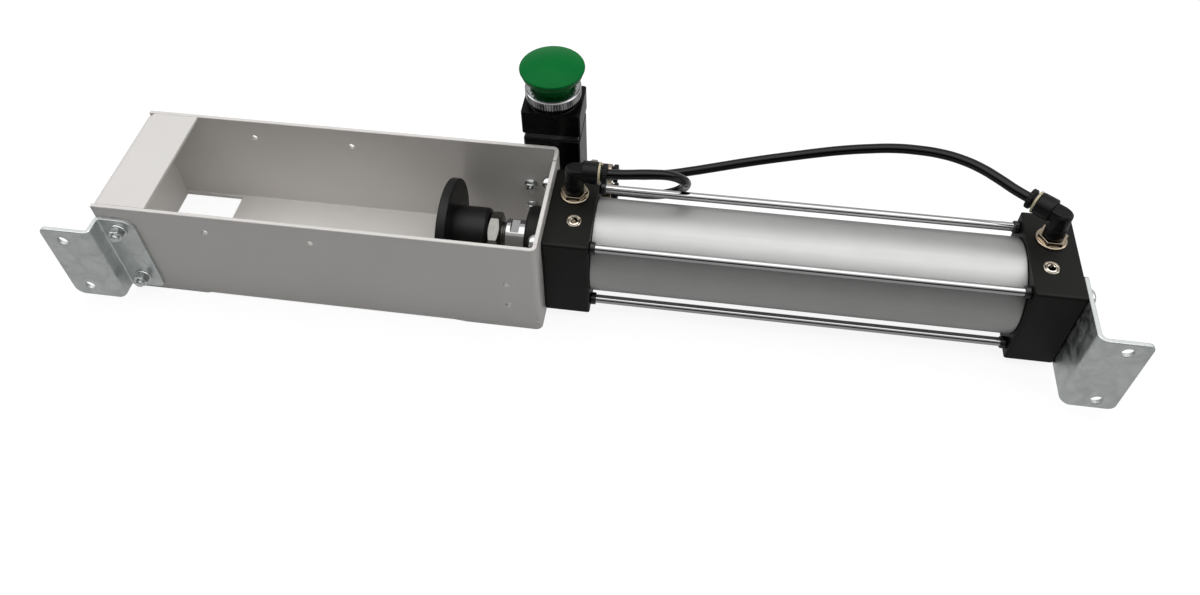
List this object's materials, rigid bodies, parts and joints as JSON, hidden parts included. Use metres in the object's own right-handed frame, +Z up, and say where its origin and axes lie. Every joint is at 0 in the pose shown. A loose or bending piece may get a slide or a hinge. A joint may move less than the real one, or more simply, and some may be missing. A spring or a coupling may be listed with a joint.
{
  "type": "pneumatic can crusher",
  "caption": "Wall-mounted can crusher: an air cylinder pushes a round plunger along an open steel chamber when a palm button is pressed.",
  "frame": {"origin": "bottom centre of the whole part's box, without the two hoses", "axes": "+X from the closed end of the chamber towards the rear of the cylinder, +Y away from the wall, +Z up, the way the palm button stands"},
  "size_m": [0.628, 0.1326, 0.131],
  "materials": {
    "powder_coat": "satin warm grey powder coat",
    "zinc_sheet": "zinc-plated sheet, faintly mottled",
    "zinc_hardware": "bright zinc plating",
    "black_steel": "black oxide",
    "black_cap": "satin black paint on cast aluminium",
    "anodised_barrel": "satin anodised, drawn lengthwise",
    "chrome_rod": "polished",
    "nickel_fitting": "nickel-plated brass",
    "bronze": "sintered bronze",
    "seal_rubber": "nitrile rubber",
    "black_plastic": "moulded, slightly glossy",
    "cream_ring": "moulded",
    "valve_black": "black paint on die-cast aluminium",
    "valve_grey": "dark grey paint",
    "bezel_metal": "satin chrome",
    "spring_steel": "drawn steel",
    "black_hose": "glossy polyurethane",
    "piston_aluminium": "turned",
    "wear_plastic": "filled plastic",
    "plunger_plastic": "turned black acetal",
    "green_button": "moulded, satin"
  },
  "bodies": {
    "frame": {"chamber_trough": "powder_coat", "end_cover": "powder_coat", "end_plate": "powder_coat", "end_plate_screws": "zinc_hardware", "left_bracket": "zinc_sheet", "left_bracket_bolts": "zinc_hardware", "left_bracket_washers": "zinc_hardware", "left_bracket_nuts": "zinc_hardware", "right_bracket": "zinc_sheet", "right_bracket_screws": "zinc_hardware", "front_cap": "black_cap", "rear_cap": "black_cap", "barrel": "anodised_barrel", "barrel_seals": "seal_rubber", "tie_rods": "chrome_rod", "tie_rod_collars": "black_steel", "tie_rod_nuts": "zinc_hardware", "rod_bushing": "bronze", "rod_wiper": "seal_rubber", "cushion_seals": "seal_rubber", "needle_collars": "zinc_hardware", "elbow_bases": "nickel_fitting", "front_elbow": "black_plastic", "rear_elbow": "black_plastic", "elbow_rings": "cream_ring", "valve_body": "valve_black", "valve_end_cap": "valve_grey", "valve_plate": "valve_grey", "valve_head": "valve_black", "bezel_ring": "bezel_metal", "dress_ring": "bezel_metal", "valve_bolts": "zinc_hardware", "valve_nuts": "zinc_hardware", "valve_fittings": "nickel_fitting", "inlet_fitting": "nickel_fitting", "silencers": "bronze", "return_spring": "spring_steel", "tube_front": "black_hose", "tube_rear": "black_hose"},
    "plunger_set": {"piston_rod": "chrome_rod", "piston": "piston_aluminium", "piston_seals": "seal_rubber", "wear_ring": "wear_plastic", "front_spear": "piston_aluminium", "rear_spear": "piston_aluminium", "piston_nut": "zinc_hardware", "jam_nut": "zinc_hardware", "plunger": "plunger_plastic"},
    "button_set": {"button_cap": "green_button", "button_stem": "spring_steel", "spool": "piston_aluminium", "spool_seals": "seal_rubber"},
    "front_needle_screw": {"front_needle": "zinc_hardware"},
    "rear_needle_screw": {"rear_needle": "zinc_hardware"},
    "front_release": {"front_collet": "black_plastic"},
    "rear_release": {"rear_collet": "black_plastic"},
    "upper_valve_release": {"upper_valve_collet": "black_plastic"},
    "lower_valve_release": {"lower_valve_collet": "black_plastic"},
    "inlet_release": {"inlet_collet": "black_plastic"}
  },
  "joints": [
    {"name": "plunger_stroke", "type": "slide", "parent": "frame", "child": "plunger_set", "axis": [-1, 0, 0], "range_m": [0, 0.196]},
    {"name": "button_press", "type": "slide", "parent": "frame", "child": "button_set", "axis": [0, 0, -1], "range_m": [0, 0.004], "stiffness_N_per_m": 2500, "springref_m": -0.004, "deforming": ["return_spring"]},
    {"name": "front_needle_turn", "type": "hinge", "parent": "frame", "child": "front_needle_screw", "pos_m": [0.00045, -0.01895, 0.067], "axis": [0, 0, 1], "range_deg": [0, 720]},
    {"name": "rear_needle_turn", "type": "hinge", "parent": "frame", "child": "rear_needle_screw", "pos_m": [0.26855, -0.01895, 0.067], "axis": [0, 0, 1], "range_deg": [0, 720]},
    {"name": "front_collet_push", "type": "slide", "parent": "frame", "child": "front_release", "axis": [-1, 0, 0], "range_m": [0, 0.0008], "stiffness_N_per_m": 200},
    {"name": "rear_collet_push", "type": "slide", "parent": "frame", "child": "rear_release", "axis": [0.809, -0.5878, 0], "range_m": [0, 0.0008], "stiffness_N_per_m": 200},
    {"name": "upper_valve_collet_push", "type": "slide", "parent": "frame", "child": "upper_valve_release", "axis": [-1, 0, 0], "range_m": [0, 0.0008], "stiffness_N_per_m": 200},
    {"name": "lower_valve_collet_push", "type": "slide", "parent": "frame", "child": "lower_valve_release", "axis": [-1, 0, 0], "range_m": [0, 0.0008], "stiffness_N_per_m": 200},
    {"name": "inlet_collet_push", "type": "slide", "parent": "frame", "child": "inlet_release", "axis": [1, 0, 0], "range_m": [0, 0.0008], "stiffness_N_per_m": 200}
  ]
}
